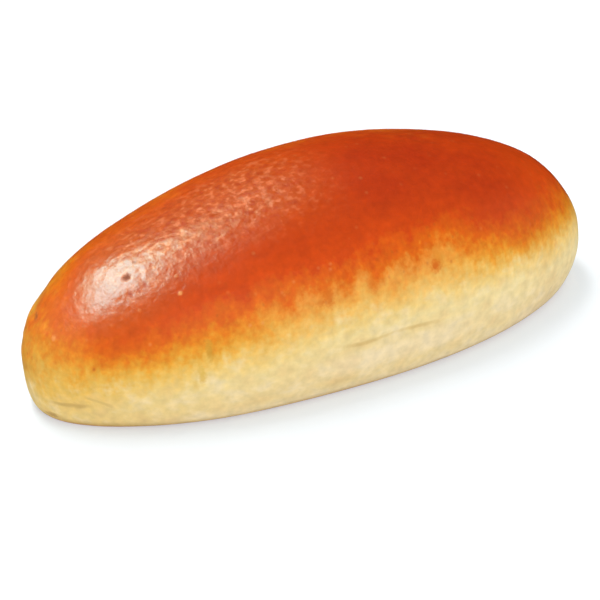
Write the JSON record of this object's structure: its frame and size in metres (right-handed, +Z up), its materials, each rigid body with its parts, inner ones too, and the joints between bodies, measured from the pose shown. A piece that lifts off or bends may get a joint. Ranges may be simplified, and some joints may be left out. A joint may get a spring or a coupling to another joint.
{
  "type": "sandwich roll",
  "caption": "Long oval soft bread roll, uncut, with a glossy browned crown, pale cream flanks and a flat underside.",
  "frame": {"origin": "middle of the roll's box, at the level of its flat underside", "axes": "+X along the roll, towards its slightly fatter end; +Y across it, away from the seamed flank; +Z up"},
  "size_m": [0.1604, 0.072, 0.0524],
  "materials": {
    "crust": "baked egg-washed bread crust, glossy reddish brown on the crown, fading to matt pale cream on the flanks and golden brown under the base"
  },
  "bodies": {
    "root": {"roll": "crust"}
  },
  "joints": []
}
